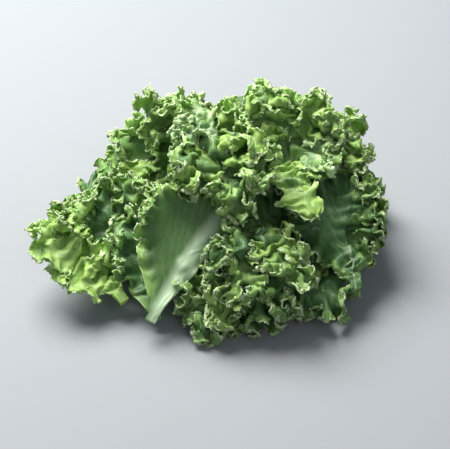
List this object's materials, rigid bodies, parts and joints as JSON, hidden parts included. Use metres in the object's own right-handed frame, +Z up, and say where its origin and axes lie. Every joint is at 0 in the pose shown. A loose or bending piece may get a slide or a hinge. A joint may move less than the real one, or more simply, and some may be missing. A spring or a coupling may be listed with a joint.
{
  "type": "kale bunch",
  "caption": "Loose heap of cut curly kale leaves with smooth cupped blades and tightly frilled margins, lying as it settles on a flat surface.",
  "frame": {"origin": "middle of the heap's box in plan, on the surface it lies on", "axes": "+X to the right along the heap's longest side, +Y towards the back of the heap, +Z up"},
  "size_m": [0.22, 0.1726, 0.097],
  "materials": {
    "kale_leaf": "Fresh leaf: satin green upper side, paler bluish underside, pale midrib and veins, light yellow-green frilled edge, thin enough for light to glow through."
  },
  "bodies": {
    "root": {"leaf_skirt_left": "kale_leaf", "leaf_skirt_right": "kale_leaf", "leaf_skirt_middle": "kale_leaf", "leaf_fall_far_left": "kale_leaf", "leaf_fall_far_right": "kale_leaf", "leaf_fall_left": "kale_leaf", "leaf_fall_right": "kale_leaf", "leaf_fall_middle": "kale_leaf", "leaf_under_left": "kale_leaf", "leaf_under_right": "kale_leaf", "leaf_right_edge": "kale_leaf", "leaf_back_corner": "kale_leaf", "leaf_left_back": "kale_leaf", "leaf_back_left": "kale_leaf", "leaf_back_middle": "kale_leaf", "leaf_top_right": "kale_leaf", "leaf_low_front": "kale_leaf", "leaf_low_right": "kale_leaf", "leaf_heart_right": "kale_leaf", "leaf_heart_left": "kale_leaf", "leaf_low_left": "kale_leaf", "leaf_left_rim": "kale_leaf", "leaf_left_cup": "kale_leaf", "leaf_left_tip": "kale_leaf", "leaf_right_cup": "kale_leaf", "leaf_back_right": "kale_leaf", "leaf_front_curl": "kale_leaf", "leaf_folded": "kale_leaf", "leaf_top_drape": "kale_leaf"}
  },
  "joints": []
}
